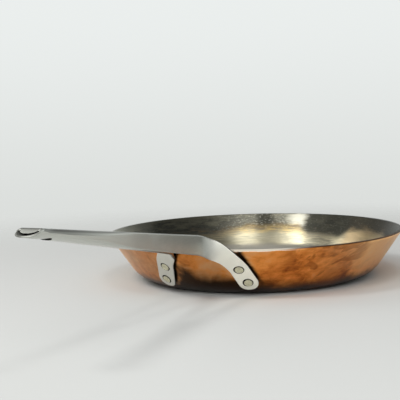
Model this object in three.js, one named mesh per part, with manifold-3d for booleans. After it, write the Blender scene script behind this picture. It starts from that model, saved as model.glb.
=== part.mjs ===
// Copper skillet with a tin lining and a forked, hollow steel handle held by four rivets.
// Millimetres, +Z up. The origin is the centre of the flat base's underside and the handle points along +X.
import * as THREE from 'three';
import { mergeVertices } from 'three/addons/utils/BufferGeometryUtils.js';
import Module from 'manifold-3d';

// Pan: a spun copper bowl with a flat base, a round corner and a straight flared wall
const RIM_RADIUS = 152.5;
const PAN_HEIGHT = 48;
const WALL_SLOPE = THREE.MathUtils.degToRad(55.5);
const CORNER_RADIUS = 34;
const COPPER_WALL = 2.4;
const RIM_ROUND = 0.7;

// Lining: a tin skin that covers the inside and turns out over the copper's edge
const LINING_WALL = 0.6;
const LINING_GAP = 0.2;
const LIP_SETBACK = 0.5;

// Handle: one sheet folded into a flattened tube whose sides run on as two legs and straps
const SHEET = 2.4;
const EDGE_ROUND = 1;
const GRIP_WIDTH = 19;
const GRIP_CORNER = 3;
const GRIP_BELLY = 5;
const GRIP_CORNER_SHARE = 0.25;
const GRIP_BELLY_SHARE = 0.6;
const HANDLE_LENGTH = 268.5;
const ROOT_STANDOFF = 19.5;
const ROOT_BELOW_RIM = 2.2;
const ROOT_HEIGHT = 18.1;
const TIP_RISE = 48.2;
const TIP_HEIGHT = 6.8;
const FORK_LENGTH = 115.5;
const SPREAD_LENGTH = 99.5;
const SPREAD_CURVE = 1.3;
const ROOT_HALF_WIDTH = 15.3;
const CORNER_FADE_LENGTH = 72;

// Strap: each leg bends outward and comes down on the wall
const STRAP_WIDTH = 18.6;
const BEND_PULL = 14;
const LANDING_PULL = 20;
const LANDING_LIFT = 3;
const TWIST_START = 0.1;
const TWIST_END = 0.8;

// Tip: its underside is a half oval, the end is rounded and cut on a scoop, and a hang hole goes through it
const TIP_OVAL_SHARE = 0.45;
const NOSE_LENGTH = 8;
const SCOOP_LENGTH = 8.5;
const SCOOP_SAG = 0.4;
const LIP_HEIGHT = 1;
const HANG_HOLE_LENGTH = 13;
const HANG_HOLE_WIDTH = 13;
const HANG_HOLE_SETBACK = 24;

// Rivets: places are arc distances from the handle's middle plane, and distances down the wall from the rim
const UPPER_SPREAD = 37.4;
const UPPER_DROP = 22.4;
const PITCH_SPREAD = 4.4;
const PITCH_DROP = 16.6;
const SHANK_RADIUS = 3;
const TAIL_RADIUS = 5.1;
const TAIL_DEPTH = 1.5;
const TAIL_RECESS = 0.25;
const DIMPLE_RADIUS = 1;
const DIMPLE_DEPTH = 0.5;
const HEAD_RADIUS = 7;
const HEAD_HEIGHT = 2.4;

// Clearances between pieces, and how far cutters reach past what they cut
const SEAT_GAP = 0.3;
const CUT_MARGIN = 6;
const JOIN_OVERLAP = 0.02;

// Facets
const TURN_SEGMENTS = 72;
const CORNER_STEPS = 7;
const EDGE_STEPS = 3;
const FADE_STEPS = 4;
const CROTCH_STEPS = 5;
const LEG_STEPS = 6;
const BEND_STEPS = 14;
const WALL_STEPS = 3;
const STRAP_END_STEPS = 7;
const STRAP_END_TURN = THREE.MathUtils.degToRad(84);
const TIP_STEPS = 10;
const RIVET_SEGMENTS = 18;
const DOME_STEPS = 4;

const { lerp, clamp, smoothstep } = THREE.MathUtils;
const wasm = await Module();
wasm.setup();

function toSolid(geometry) {
  const plain = geometry.index ? geometry.toNonIndexed() : geometry.clone();
  plain.deleteAttribute('normal');
  plain.deleteAttribute('uv');
  const merged = mergeVertices(plain, 1e-3);
  const corners = [];
  for (let i = 0; i < merged.index.count; i += 3) {
    const [a, b, c] = [merged.index.getX(i), merged.index.getX(i + 1), merged.index.getX(i + 2)];
    if (a !== b && b !== c && c !== a) {
      corners.push(a, b, c);
    }
  }
  return new wasm.Manifold(new wasm.Mesh({
    numProp: 3,
    vertProperties: merged.attributes.position.array,
    triVerts: Uint32Array.from(corners),
  }));
}

function toGeometry(solid) {
  const mesh = solid.getMesh();
  const geometry = new THREE.BufferGeometry();
  geometry.setAttribute('position', new THREE.BufferAttribute(Float32Array.from(mesh.vertProperties), 3));
  geometry.setIndex(new THREE.BufferAttribute(Uint32Array.from(mesh.triVerts), 1));
  geometry.computeVertexNormals();
  return geometry;
}

function subtractAll(solid, cutters) {
  return cutters.reduce((rest, cutter) => rest.subtract(cutter), solid);
}

// The wall's outline: a distance down from the rim gives a point, as radius and height, and its outward way
const CORNER_TOP = CORNER_RADIUS * (1 - Math.cos(WALL_SLOPE));
const STRAIGHT_LENGTH = (PAN_HEIGHT - CORNER_TOP) / Math.sin(WALL_SLOPE);
const WALL_FOOT = RIM_RADIUS - STRAIGHT_LENGTH * Math.cos(WALL_SLOPE);
const BASE_RADIUS = WALL_FOOT - CORNER_RADIUS * Math.sin(WALL_SLOPE);

function wallOutline(drop) {
  const turned = Math.max(0, drop - STRAIGHT_LENGTH) / CORNER_RADIUS;
  const slope = Math.max(0, WALL_SLOPE - turned);
  const outward = new THREE.Vector2(Math.sin(slope), -Math.cos(slope));
  const point = new THREE.Vector2(BASE_RADIUS, CORNER_RADIUS).addScaledVector(outward, CORNER_RADIUS);
  const above = Math.max(0, STRAIGHT_LENGTH - drop);
  point.x += above * Math.cos(WALL_SLOPE);
  point.y += above * Math.sin(WALL_SLOPE);
  return { point, outward };
}

// A place on the wall, at an arc distance to one side of the handle's plane, lifted off the copper
function wallPlace(spread, drop, lift) {
  const { point, outward } = wallOutline(drop);
  const angle = spread / point.x;
  const normal = new THREE.Vector3(outward.x * Math.cos(angle), outward.x * Math.sin(angle), outward.y);
  const place = new THREE.Vector3(point.x * Math.cos(angle), point.x * Math.sin(angle), point.y);
  return { place: place.addScaledVector(normal, lift), normal };
}

// The bowl's outline from the axis out to the wall's top, moved in by a thickness
function bowlOutline(inset, top) {
  const radius = CORNER_RADIUS - inset;
  const points = [new THREE.Vector2(0, inset)];
  for (let i = 0; i <= CORNER_STEPS; i += 1) {
    const angle = WALL_SLOPE * i / CORNER_STEPS;
    const across = BASE_RADIUS + radius * Math.sin(angle);
    points.push(new THREE.Vector2(across, CORNER_RADIUS - radius * Math.cos(angle)));
  }
  const last = points.at(-1);
  points.push(new THREE.Vector2(last.x + (top - last.y) / Math.tan(WALL_SLOPE), top));
  return points;
}

function revolve(outline) {
  const geometry = new THREE.LatheGeometry(outline, TURN_SEGMENTS);
  return toSolid(geometry.rotateX(Math.PI / 2));
}

function makeCopper() {
  const top = PAN_HEIGHT - LINING_WALL - LINING_GAP;
  const outer = bowlOutline(0, top);
  const rim = outer.pop();
  outer.push(new THREE.Vector2(rim.x - RIM_ROUND / Math.tan(WALL_SLOPE), top - RIM_ROUND));
  outer.push(new THREE.Vector2(rim.x - RIM_ROUND, top));
  return revolve([...outer, ...bowlOutline(COPPER_WALL, top).reverse()]);
}

function makeLining() {
  const inset = COPPER_WALL + LINING_GAP;
  const under = PAN_HEIGHT - LINING_WALL;
  const lip = RIM_RADIUS - LIP_SETBACK;
  const outline = bowlOutline(inset, under);
  outline.push(new THREE.Vector2(lip, under), new THREE.Vector2(lip - LINING_WALL / 2, PAN_HEIGHT));
  return revolve([...outline, ...bowlOutline(inset + LINING_WALL, PAN_HEIGHT).reverse()]);
}

// The handle's reaches are measured from the pan's axis
const ROOT_REACH = RIM_RADIUS + ROOT_STANDOFF;
const SPREAD_REACH = RIM_RADIUS + SPREAD_LENGTH;
const CROTCH_REACH = RIM_RADIUS + FORK_LENGTH;
const TIP_REACH = RIM_RADIUS + HANDLE_LENGTH;
const ROOT_BOTTOM = PAN_HEIGHT - ROOT_BELOW_RIM;
const TIP_BOTTOM = ROOT_BOTTOM + TIP_RISE;

// Its side view: heights of the top and bottom edges at a reach
function handleEdges(reach) {
  const share = (reach - ROOT_REACH) / (TIP_REACH - ROOT_REACH);
  const bottom = lerp(ROOT_BOTTOM, TIP_BOTTOM, share);
  return { bottom, top: bottom + lerp(ROOT_HEIGHT, TIP_HEIGHT, share) };
}

// Its plan: the outer half width, which spreads from the grip to the root
function halfWidth(reach) {
  const share = clamp((SPREAD_REACH - reach) / (SPREAD_REACH - ROOT_REACH), 0, 1);
  return lerp(GRIP_WIDTH / 2, ROOT_HALF_WIDTH, share ** SPREAD_CURVE);
}

// A quarter round or oval from the outer face's own line up to a level
function cornerRound(width, radius, level) {
  const points = [];
  for (let i = 0; i <= EDGE_STEPS; i += 1) {
    const angle = Math.PI / 2 * i / EDGE_STEPS;
    points.push([width * (1 - Math.cos(angle)), level - radius * (1 - Math.sin(angle))]);
  }
  return points;
}

// One folded section, a channel whose arms reach inward to a round edge, or meet where that is 0:
// points as depth from the outer face and level from the middle
function foldedSection(height, arm, corner, belly, armEdge, oval) {
  const half = height / 2;
  const reach = Math.max(arm, SHEET);
  const limit = Math.max(SHEET / 2, reach - SHEET);
  const edge = Math.min(armEdge, SHEET / 2, height / 6);
  const web = half - Math.min(SHEET, height / 4);
  const fold = half - Math.min(SHEET + EDGE_ROUND, height / 3);
  const high = Math.min(corner, limit, height * GRIP_CORNER_SHARE);
  const low = Math.min(belly, limit, height * GRIP_BELLY_SHARE);
  const upper = cornerRound(high, high, half);
  const lower = cornerRound(lerp(low, reach - EDGE_ROUND, oval), low, half);
  return [
    [reach - edge, half],
    ...upper.reverse(),
    ...lower.map(([depth, level]) => [depth, -level]),
    [reach - edge, -half],
    [reach, edge - half],
    [reach, -web],
    [SHEET, -fold],
    [SHEET, fold],
    [reach, web],
    [reach, half - edge],
  ];
}

// A section set in space: its centre lies on the outer face, and depth runs inward
function placeSection(section, centre, up, inward) {
  const points = section.map(([depth, level]) => {
    return centre.clone().addScaledVector(inward, depth).addScaledVector(up, level);
  });
  return { section, points };
}

// Rings of equal point counts joined into one closed skin
function loft(rings) {
  const count = rings[0].points.length;
  const positions = rings.flatMap((ring) => ring.points.flatMap((point) => point.toArray()));
  const faces = [];
  for (let ring = 0; ring + 1 < rings.length; ring += 1) {
    for (let i = 0; i < count; i += 1) {
      const [a, b] = [ring * count + i, ring * count + (i + 1) % count];
      faces.push(a, b, a + count, b, b + count, a + count);
    }
  }
  const capFaces = ({ section }) => {
    const flat = section.map(([depth, level]) => new THREE.Vector2(depth, level));
    return THREE.ShapeUtils.triangulateShape(flat, []);
  };
  const last = (rings.length - 1) * count;
  for (const [a, b, c] of capFaces(rings[0])) {
    faces.push(a, c, b);
  }
  for (const [a, b, c] of capFaces(rings.at(-1))) {
    faces.push(last + a, last + b, last + c);
  }
  const geometry = new THREE.BufferGeometry();
  geometry.setAttribute('position', new THREE.Float32BufferAttribute(positions, 3));
  geometry.setIndex(faces);
  return geometry;
}

// Sections of the grip and the leg, square to +X, from the tip to the root
const GRIP_INSIDE = GRIP_WIDTH / 2 - SHEET;

const CORNER_REACH = CROTCH_REACH + CORNER_FADE_LENGTH;
const OVAL_REACH = lerp(CORNER_REACH, TIP_REACH, TIP_OVAL_SHARE);

function sideReaches() {
  const reaches = [TIP_REACH];
  for (let i = 0; i <= FADE_STEPS; i += 1) {
    reaches.push(lerp(OVAL_REACH, CORNER_REACH, i / FADE_STEPS));
  }
  for (let i = 1; i <= FADE_STEPS; i += 1) {
    reaches.push(lerp(CORNER_REACH, CROTCH_REACH, i / FADE_STEPS));
  }
  for (let i = 1; i <= CROTCH_STEPS; i += 1) {
    reaches.push(CROTCH_REACH - GRIP_INSIDE * (1 - Math.cos(Math.PI / 2 * i / CROTCH_STEPS)));
  }
  for (let i = 1; i <= LEG_STEPS; i += 1) {
    reaches.push(lerp(CROTCH_REACH - GRIP_INSIDE, ROOT_REACH, i / LEG_STEPS));
  }
  return reaches;
}

// The arms meet in the grip, draw back round the crotch and end in the leg
function armLength(reach) {
  const wide = halfWidth(reach);
  if (reach >= CROTCH_REACH) {
    return wide + JOIN_OVERLAP;
  }
  const into = clamp((CROTCH_REACH - reach) / GRIP_INSIDE, 0, 1);
  return into < 1 ? wide - GRIP_INSIDE * Math.sqrt(1 - (1 - into) ** 2) : SHEET;
}

function sideRings() {
  return sideReaches().map((reach) => {
    const { top, bottom } = handleEdges(reach);
    const grip = smoothstep(reach, CROTCH_REACH, CORNER_REACH);
    const oval = smoothstep(reach, CORNER_REACH, OVAL_REACH);
    const corner = lerp(EDGE_ROUND, GRIP_CORNER, grip);
    const belly = lerp(EDGE_ROUND, GRIP_BELLY, grip);
    const armEdge = reach < CROTCH_REACH ? EDGE_ROUND : 0;
    const section = foldedSection(top - bottom, armLength(reach), corner, belly, armEdge, oval);
    const centre = new THREE.Vector3(reach, halfWidth(reach), (top + bottom) / 2);
    return placeSection(section, centre, new THREE.Vector3(0, 0, 1), new THREE.Vector3(0, -1, 0));
  });
}

function strapRing(centre, tangent, outward, width) {
  const up = outward.clone().cross(tangent).normalize();
  const inward = up.clone().cross(tangent).normalize();
  const section = foldedSection(width, SHEET, EDGE_ROUND, EDGE_ROUND, EDGE_ROUND, 0);
  return placeSection(section, centre, up, inward);
}

// Sections of the bend, which leaves the leg straight on and lands along the line of the rivets
const STRAP_FACE = SEAT_GAP + SHEET;

function bendRings() {
  const upper = wallPlace(UPPER_SPREAD, UPPER_DROP, STRAP_FACE);
  const lower = wallPlace(UPPER_SPREAD + PITCH_SPREAD, UPPER_DROP + PITCH_DROP, STRAP_FACE);
  const root = new THREE.Vector3(ROOT_REACH, ROOT_HALF_WIDTH, ROOT_BOTTOM + ROOT_HEIGHT / 2);
  const rise = TIP_RISE + (TIP_HEIGHT - ROOT_HEIGHT) / 2;
  const heading = new THREE.Vector3(ROOT_REACH - TIP_REACH, 0, -rise).normalize();
  const down = lower.place.sub(upper.place).normalize();
  const bend = new THREE.CubicBezierCurve3(
    root,
    root.clone().addScaledVector(heading, BEND_PULL),
    upper.place.clone().addScaledVector(down, -LANDING_PULL).addScaledVector(upper.normal, LANDING_LIFT),
    upper.place,
  );
  const rings = [];
  for (let i = 1; i <= BEND_STEPS; i += 1) {
    const share = i / BEND_STEPS;
    const turned = smoothstep(share, TWIST_START, TWIST_END);
    const outward = new THREE.Vector3(0, 1, 0).lerp(upper.normal, turned);
    const width = lerp(ROOT_HEIGHT, STRAP_WIDTH, share);
    rings.push(strapRing(bend.getPoint(share), bend.getTangent(share), outward, width));
  }
  return rings;
}

// Sections of the strap on the wall, from the upper rivet to a round end about the lower one
const RIVET_PITCH = Math.hypot(PITCH_SPREAD, PITCH_DROP);

function wallRings() {
  const along = (distance) => {
    const share = distance / RIVET_PITCH;
    return wallPlace(UPPER_SPREAD + PITCH_SPREAD * share, UPPER_DROP + PITCH_DROP * share, STRAP_FACE);
  };
  const ringAt = (distance, width) => {
    const { place, normal } = along(distance);
    const tangent = along(distance + EDGE_ROUND).place.sub(place).normalize();
    return strapRing(place, tangent, normal, width);
  };
  const rings = [];
  for (let i = 1; i <= WALL_STEPS; i += 1) {
    rings.push(ringAt(RIVET_PITCH * i / WALL_STEPS, STRAP_WIDTH));
  }
  for (let i = 1; i <= STRAP_END_STEPS; i += 1) {
    const angle = STRAP_END_TURN * i / STRAP_END_STEPS;
    rings.push(ringAt(RIVET_PITCH + STRAP_WIDTH / 2 * Math.sin(angle), STRAP_WIDTH * Math.cos(angle)));
  }
  return rings;
}

function mirrorRings(rings) {
  const mirror = new THREE.Vector3(1, -1, 1);
  return rings.map(({ section, points }) => ({
    section: section.map(([depth, level]) => [-depth, level]).reverse(),
    points: points.map((point) => point.clone().multiply(mirror)).reverse(),
  }));
}

// The tip's cutters: the scoop drawn in side view, the nose in plan, the hang hole square to the underside
function makeScoop() {
  const start = TIP_REACH - SCOOP_LENGTH;
  const from = new THREE.Vector2(start, handleEdges(start).top);
  const to = new THREE.Vector2(TIP_REACH, TIP_BOTTOM + LIP_HEIGHT);
  const bow = from.clone().add(to).divideScalar(2);
  const side = new THREE.Shape();
  side.moveTo(from.x, from.y + CUT_MARGIN);
  side.lineTo(from.x, from.y);
  side.quadraticCurveTo(bow.x, bow.y - SCOOP_SAG, to.x, to.y);
  side.lineTo(to.x + CUT_MARGIN, to.y);
  side.lineTo(to.x + CUT_MARGIN, from.y + CUT_MARGIN);
  const depth = GRIP_WIDTH + 2 * CUT_MARGIN;
  const scoop = new THREE.ExtrudeGeometry(side, { depth, bevelEnabled: false, curveSegments: TIP_STEPS });
  return scoop.rotateX(Math.PI / 2).translate(0, depth / 2, 0);
}

function makeNose() {
  const start = TIP_REACH - NOSE_LENGTH;
  const end = TIP_REACH + CUT_MARGIN;
  const half = GRIP_WIDTH / 2;
  const wide = half + CUT_MARGIN;
  const plan = new THREE.Shape();
  plan.moveTo(start, -half);
  plan.lineTo(start, -wide);
  plan.lineTo(end, -wide);
  plan.lineTo(end, wide);
  plan.lineTo(start, wide);
  plan.lineTo(start, half);
  plan.absellipse(start, 0, NOSE_LENGTH, half, Math.PI / 2, -Math.PI / 2, true);
  const depth = TIP_HEIGHT + 2 * CUT_MARGIN;
  const nose = new THREE.ExtrudeGeometry(plan, { depth, bevelEnabled: false, curveSegments: 2 * TIP_STEPS });
  return nose.translate(0, 0, TIP_BOTTOM - CUT_MARGIN);
}

function makeHangHole() {
  const reach = TIP_REACH - HANG_HOLE_SETBACK;
  const { top, bottom } = handleEdges(reach);
  const oval = new THREE.Shape();
  oval.absellipse(0, 0, HANG_HOLE_LENGTH / 2, HANG_HOLE_WIDTH / 2, 0, 2 * Math.PI);
  const depth = top - bottom + 2 * CUT_MARGIN;
  const hole = new THREE.ExtrudeGeometry(oval, { depth, bevelEnabled: false, curveSegments: TIP_STEPS });
  const lean = Math.atan2(TIP_RISE, TIP_REACH - ROOT_REACH);
  return hole.translate(0, 0, -CUT_MARGIN).rotateY(-lean).translate(reach, 0, bottom);
}

// Outlines about a rivet's axis, measured outward from the copper: the rivet, and the room cut for it
const HEAD_SEAT = -(COPPER_WALL + LINING_GAP + LINING_WALL + SEAT_GAP);
const TAIL_FACE = STRAP_FACE - TAIL_RECESS;

function rivetOutline() {
  const outline = [];
  for (let i = 0; i <= DOME_STEPS; i += 1) {
    const angle = Math.PI / 2 * i / DOME_STEPS;
    outline.push(new THREE.Vector2(HEAD_RADIUS * Math.sin(angle), HEAD_SEAT - HEAD_HEIGHT * Math.cos(angle)));
  }
  outline.push(
    new THREE.Vector2(SHANK_RADIUS, HEAD_SEAT),
    new THREE.Vector2(SHANK_RADIUS, TAIL_FACE - TAIL_DEPTH),
    new THREE.Vector2(TAIL_RADIUS, TAIL_FACE - TAIL_RECESS),
    new THREE.Vector2(TAIL_RADIUS - TAIL_RECESS, TAIL_FACE),
    new THREE.Vector2(DIMPLE_RADIUS, TAIL_FACE),
    new THREE.Vector2(0, TAIL_FACE - DIMPLE_DEPTH),
  );
  return outline;
}

function rivetRoomOutline() {
  const bore = SHANK_RADIUS + SEAT_GAP;
  const mouth = TAIL_RADIUS + SEAT_GAP;
  return [
    new THREE.Vector2(0, HEAD_SEAT - SEAT_GAP),
    new THREE.Vector2(bore, HEAD_SEAT - SEAT_GAP),
    new THREE.Vector2(bore, TAIL_FACE - TAIL_DEPTH - SEAT_GAP),
    new THREE.Vector2(mouth, TAIL_FACE - TAIL_RECESS - SEAT_GAP),
    new THREE.Vector2(mouth, STRAP_FACE + CUT_MARGIN),
    new THREE.Vector2(0, STRAP_FACE + CUT_MARGIN),
  ];
}

const RIVETS = [
  { name: 'rivet_right_upper', side: 1, row: 0 },
  { name: 'rivet_right_lower', side: 1, row: 1 },
  { name: 'rivet_left_upper', side: -1, row: 0 },
  { name: 'rivet_left_lower', side: -1, row: 1 },
];

function onRivetAxis(outline, { side, row }) {
  const spread = side * (UPPER_SPREAD + PITCH_SPREAD * row);
  const { place, normal } = wallPlace(spread, UPPER_DROP + PITCH_DROP * row, 0);
  const turn = new THREE.Quaternion().setFromUnitVectors(new THREE.Vector3(0, 1, 0), normal);
  const geometry = new THREE.LatheGeometry(outline, RIVET_SEGMENTS);
  return toSolid(geometry.applyQuaternion(turn).translate(place.x, place.y, place.z));
}

const rivetRooms = RIVETS.map((rivet) => onRivetAxis(rivetRoomOutline(), rivet));

// The wall with the seat gap added inside, which shapes the underside of each head to the curved lining
function makeHeadSeat() {
  const inner = bowlOutline(-HEAD_SEAT, PAN_HEIGHT);
  return subtractAll(revolve([...bowlOutline(0, PAN_HEIGHT), ...inner.reverse()]), rivetRooms);
}

function makeHandle() {
  const rings = [...sideRings(), ...bendRings(), ...wallRings()];
  const [right, left] = [rings, mirrorRings(rings)].map((side) => toSolid(loft(side)));
  const tipCutters = [makeScoop(), makeNose(), makeHangHole()].map(toSolid);
  return subtractAll(right.add(left), [...tipCutters, ...rivetRooms]);
}

const copper = new THREE.MeshStandardMaterial({ color: 0xb56a33, roughness: 0.32, metalness: 1 });
const tin = new THREE.MeshStandardMaterial({ color: 0xaeaca2, roughness: 0.38, metalness: 1 });
const steel = new THREE.MeshStandardMaterial({ color: 0xb9bab2, roughness: 0.34, metalness: 1 });
const rivetSteel = new THREE.MeshStandardMaterial({ color: 0xa9a696, roughness: 0.4, metalness: 1 });

const skillet = new THREE.Group();

function addPiece(name, solid, material) {
  const mesh = new THREE.Mesh(toGeometry(solid), material);
  mesh.name = name;
  skillet.add(mesh);
}

const headSeat = makeHeadSeat();
addPiece('pan_body', subtractAll(makeCopper(), rivetRooms), copper);
addPiece('tin_lining', subtractAll(makeLining(), rivetRooms), tin);
addPiece('handle', makeHandle(), steel);
for (const rivet of RIVETS) {
  addPiece(rivet.name, onRivetAxis(rivetOutline(), rivet).subtract(headSeat), rivetSteel);
}

export default skillet;
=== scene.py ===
from math import acos, atan2, ceil, copysign, cos, dist, hypot, pi, radians, sin, sqrt, tan
import bmesh
import bpy
import numpy as np
from mathutils import Matrix, Vector


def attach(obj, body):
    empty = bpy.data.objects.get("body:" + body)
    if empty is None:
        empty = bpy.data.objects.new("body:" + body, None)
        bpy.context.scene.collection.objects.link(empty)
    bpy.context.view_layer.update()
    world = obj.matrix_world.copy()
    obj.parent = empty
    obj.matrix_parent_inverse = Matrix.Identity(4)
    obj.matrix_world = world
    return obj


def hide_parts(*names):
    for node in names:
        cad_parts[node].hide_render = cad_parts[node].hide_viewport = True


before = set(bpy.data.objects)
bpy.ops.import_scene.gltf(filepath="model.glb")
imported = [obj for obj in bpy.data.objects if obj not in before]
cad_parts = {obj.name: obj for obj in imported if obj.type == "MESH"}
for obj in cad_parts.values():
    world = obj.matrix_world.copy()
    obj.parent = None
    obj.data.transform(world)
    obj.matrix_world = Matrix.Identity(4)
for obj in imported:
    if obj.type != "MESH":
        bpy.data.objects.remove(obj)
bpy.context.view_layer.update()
scene = bpy.context.scene
scene.view_settings.view_transform = "Standard"
mm = 0.001  # the pieces' sizes are in millimetres, meshes and looks in metres
print("frame loaded:", len(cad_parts), "nodes")


# node helpers: a wire is one socket, and sums on wires add Math nodes

class Wire:
    def __init__(self, board, socket):
        self.board = board
        self.socket = socket

    def __add__(self, other):
        return self.board.maths("ADD", self, other)

    def __sub__(self, other):
        return self.board.maths("SUBTRACT", self, other)

    def __rsub__(self, other):
        return self.board.maths("SUBTRACT", other, self)

    def __mul__(self, other):
        return self.board.maths("MULTIPLY", self, other)

    def __truediv__(self, other):
        return self.board.maths("DIVIDE", self, other)

    def __rtruediv__(self, other):
        return self.board.maths("DIVIDE", other, self)

    __radd__ = __add__
    __rmul__ = __mul__

    # a noise as a shift either way about nothing
    def sway(self, amount):
        return (self - 0.5) * amount


class Board:
    def __init__(self, tree):
        self.tree = tree

    # one node: its settings first, then values or wires for its sockets, by name or number
    def add(self, kind, settings=None, inputs=None, output=0):
        node = self.tree.nodes.new(kind)
        for key, value in (settings or {}).items():
            if key == "stops":
                self.setStops(node.color_ramp, value)
            else:
                setattr(node, key, value)
        for key, value in (inputs or {}).items():
            socket = self.pick(node.inputs, key)
            if isinstance(value, Wire):
                self.tree.links.new(value.socket, socket)
            else:
                socket.default_value = (*value, 1) if socket.type == "RGBA" else value
        return Wire(self, self.pick(node.outputs, output)) if node.outputs else None

    def pick(self, sockets, key):
        if isinstance(key, int):
            return sockets[key]
        return next(socket for socket in sockets if socket.name == key and socket.enabled)

    def setStops(self, ramp, stops):
        while len(ramp.elements) < len(stops):
            ramp.elements.new(0.5)
        for element, (place, colour) in zip(ramp.elements, stops):
            element.position = place
            element.color = (*colour, 1)

    def maths(self, operation, *values):
        return self.add("ShaderNodeMath", {"operation": operation}, dict(enumerate(values)))

    def vector(self, operation, *values, output="Vector"):
        return self.add("ShaderNodeVectorMath", {"operation": operation}, dict(enumerate(values)), output)

    def split(self, place, axes="XYZ"):
        return [self.add("ShaderNodeSeparateXYZ", {}, {0: place}, axis) for axis in axes]

    # how far a place lies along a direction, and from the Z axis
    def along(self, place, way):
        return self.vector("DOT_PRODUCT", place, way, output="Value")

    def axisDistance(self, x, y):
        return self.maths("SQRT", x * x + y * y)

    # eased from 0 at the span's start to 1 at its end, which may be the lower
    def ease(self, value, span):
        sockets = {"Value": value, "From Min": span[0], "From Max": span[1]}
        return self.add("ShaderNodeMapRange", {"interpolation_type": "SMOOTHSTEP"}, sockets, "Result")

    def window(self, value, mark):
        return self.ease(value, mark["rise"]) * self.ease(value, mark["fall"])

    def mix(self, share, first, second):
        sockets = {"Factor": share, "A": first, "B": second}
        return self.add("ShaderNodeMix", {"data_type": "RGBA"}, sockets, "Result")

    # a mark's own colour over another, up to the mark's share
    def stain(self, colour, mask, mark):
        return self.mix(mask * mark["share"], colour, mark["colour"])

    def fade(self, colour, value, mark):
        return self.stain(colour, self.ease(value, mark["span"]), mark)

    def noise(self, place, scale, detail, rough, warp=0.0, squeeze=None):
        if squeeze:
            place = self.vector("MULTIPLY", place, squeeze)
        sockets = {"Vector": place, "Scale": scale, "Detail": detail, "Roughness": rough, "Distortion": warp}
        return self.add("ShaderNodeTexNoise", {}, sockets, "Fac")

    def blend(self, parts, shares):
        first, *rest = [part * share for part, share in zip(parts, shares)]
        return sum(rest, first)

    def ramp(self, value, stops):
        return self.add("ShaderNodeValToRGB", {"stops": stops}, {"Fac": value}, "Color")


def newMaterial(name):
    material = bpy.data.materials.new(name)
    material.use_nodes = True
    material.node_tree.nodes.clear()
    board = Board(material.node_tree)
    return material, board, board.add("ShaderNodeTexCoord", output="Object")


def finishMetal(board, colour, rough, relief, depth):
    normal = board.add("ShaderNodeBump", {}, {"Height": relief, "Distance": depth, "Strength": 1.0})
    sockets = {"Base Color": colour, "Roughness": rough, "Metallic": 1.0, "Normal": normal}
    shader = board.add("ShaderNodeBsdfPrincipled", {}, sockets)
    board.add("ShaderNodeOutputMaterial", {}, {"Surface": shader})


# materials: a span runs from none of a mark to all of it, in metres, or in radians from the handle

# ways across and into the view, along which painted light and shade are laid
viewWays = dict(
    across=(-0.41, 0.91, 0),  # over the pan, as the photograph sees it
    beyond=(-0.91, -0.41, 0),  # and square to that, away from the camera
)

deepCopper = (0.24, 0.064, 0.013)
copperLook = dict(
    tones=[(0.39, deepCopper), (0.46, (0.62, 0.20, 0.037)),
           (0.53, (0.88, 0.335, 0.075)), (0.66, (0.86, 0.47, 0.21))],
    stroke=(-0.67, 0.43, 0.60),  # the way that a cloth last went over it
    strokePull=0.86,
    flank=dict(colour=(0.84, 0.565, 0.285), share=0.62, span=(0.085, 0.150)),  # painted reflection: paler to the sides
    under=dict(colour=deepCopper, share=0.32, reach=(0.085, 0.125), sides=(0.065, 0.015)),  # painted shade under the handle
    # painted shade: the wall darker towards its base
    baseShade=dict(colour=(0.012, 0.007, 0.004), share=0.96, span=(0.018, 0.003)),
    baseShadeLift=0.0135,  # how much higher the painted base shade climbs under the handle
    strapLift=0.016,  # and how much more beside the strap on -Y, also painted shade
    dull=dict(colour=(0.20, 0.115, 0.065), rise=(-0.95, -0.62), fall=(-0.24, -0.36)),  # painted shade beside that strap
    leftSheen=dict(colour=(0.88, 0.77, 0.66), rise=(-0.72, -1.05), fall=(-2.1, -1.7)),  # painted reflection, paler past it
    smudge=dict(colour=deepCopper, share=0.28, rise=(0.72, 0.94), fall=(1.12, 1.04)),
    dabs=dict(colour=deepCopper, share=0.5, rise=(0.47, 0.72), fall=(1.22, 1.12)),
    strapTop=(0.0374, 0.0224),  # the upper rivets: round from the handle's middle, and down the wall
    strapSpread=0.265,  # how far a strap moves round for each length down
    strapEdge=0.0096,  # from its middle line to where the painted shade starts
    rimHeight=0.048,
    wallSine=0.824,
    edgeShade=(0.030, 0.016, 0.008),  # painted shade beside the straps
    edgeTin=(0.92, 0.85, 0.74),  # tin rubbed over the rim
    rough=0.34,
)


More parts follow.
